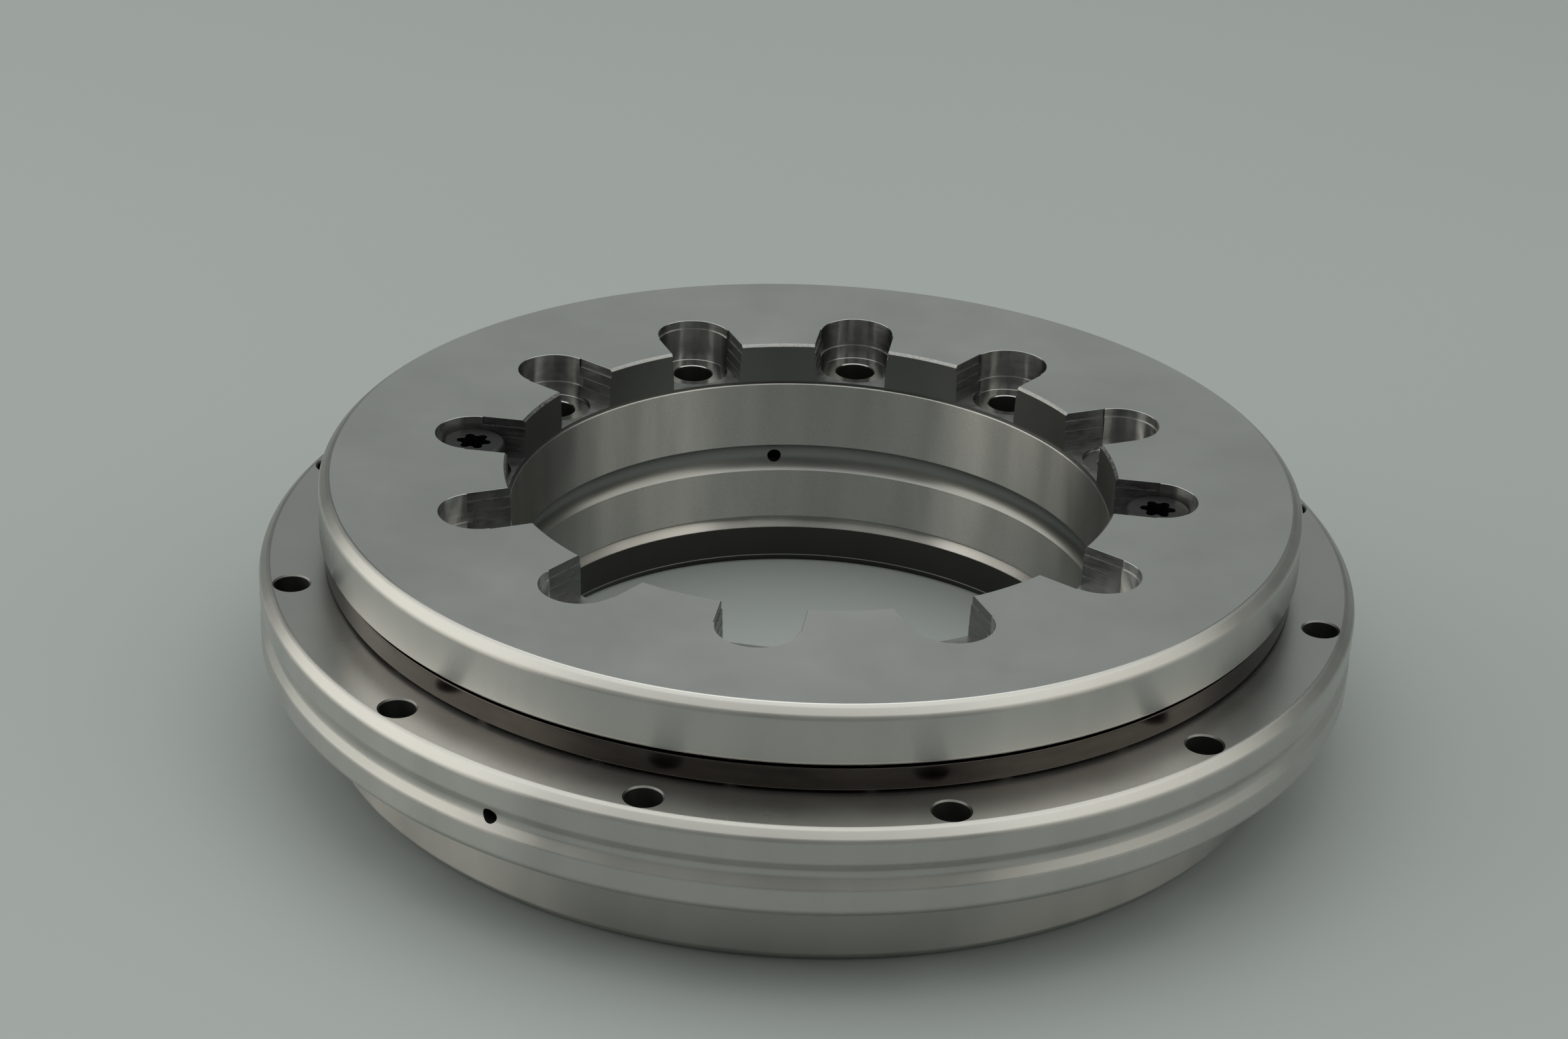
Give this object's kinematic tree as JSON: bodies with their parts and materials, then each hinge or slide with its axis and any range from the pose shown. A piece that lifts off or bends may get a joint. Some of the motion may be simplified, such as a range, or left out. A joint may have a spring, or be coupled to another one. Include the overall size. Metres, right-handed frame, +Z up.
{
  "type": "rotary table bearing",
  "caption": "Flanged axial and radial roller bearing for a rotary table: the slotted inner ring turns on caged rollers inside a bolted outer ring.",
  "frame": {"origin": "on the bearing's axis, at the lower face of the shaft washer", "axes": "+Z up along the axis, from the shaft washer to the slotted face; +X towards one of the two retaining screws, with +Y a quarter turn from it"},
  "size_m": [0.146, 0.146, 0.035],
  "materials": {
    "ring_steel": "turned and ground bearing steel",
    "roller_steel": "ground and polished bearing steel",
    "cage_brass": "dull brown machined brass, oiled",
    "screw_steel": "dark grey blackened steel"
  },
  "bodies": {
    "outer_ring": {"outer_ring": "ring_steel"},
    "rotor": {"slotted_ring": "ring_steel", "shaft_washer": "ring_steel", "retaining_screws": "screw_steel"},
    "upper_row": {"upper_cage": "cage_brass", "upper_axial_rollers": "roller_steel"},
    "lower_row": {"lower_cage": "cage_brass", "lower_axial_rollers": "roller_steel"},
    "radial_row": {"radial_cage": "cage_brass", "radial_rollers": "roller_steel"}
  },
  "joints": [
    {"name": "rotor_spin", "type": "hinge", "parent": "outer_ring", "child": "rotor", "pos_m": [0, 0, 0], "axis": [0, 0, 1], "continuous": true},
    {"name": "upper_row_spin", "type": "hinge", "parent": "outer_ring", "child": "upper_row", "pos_m": [0, 0, 0], "axis": [0, 0, 1], "continuous": true},
    {"name": "lower_row_spin", "type": "hinge", "parent": "outer_ring", "child": "lower_row", "pos_m": [0, 0, 0], "axis": [0, 0, 1], "continuous": true},
    {"name": "radial_row_spin", "type": "hinge", "parent": "outer_ring", "child": "radial_row", "pos_m": [0, 0, 0], "axis": [0, 0, 1], "continuous": true}
  ],
  "couplings": [
    {"joint": "upper_row_spin", "follows": "rotor_spin", "ratio": 0.5},
    {"joint": "lower_row_spin", "follows": "rotor_spin", "ratio": 0.5},
    {"joint": "radial_row_spin", "follows": "rotor_spin", "ratio": 0.47597}
  ]
}
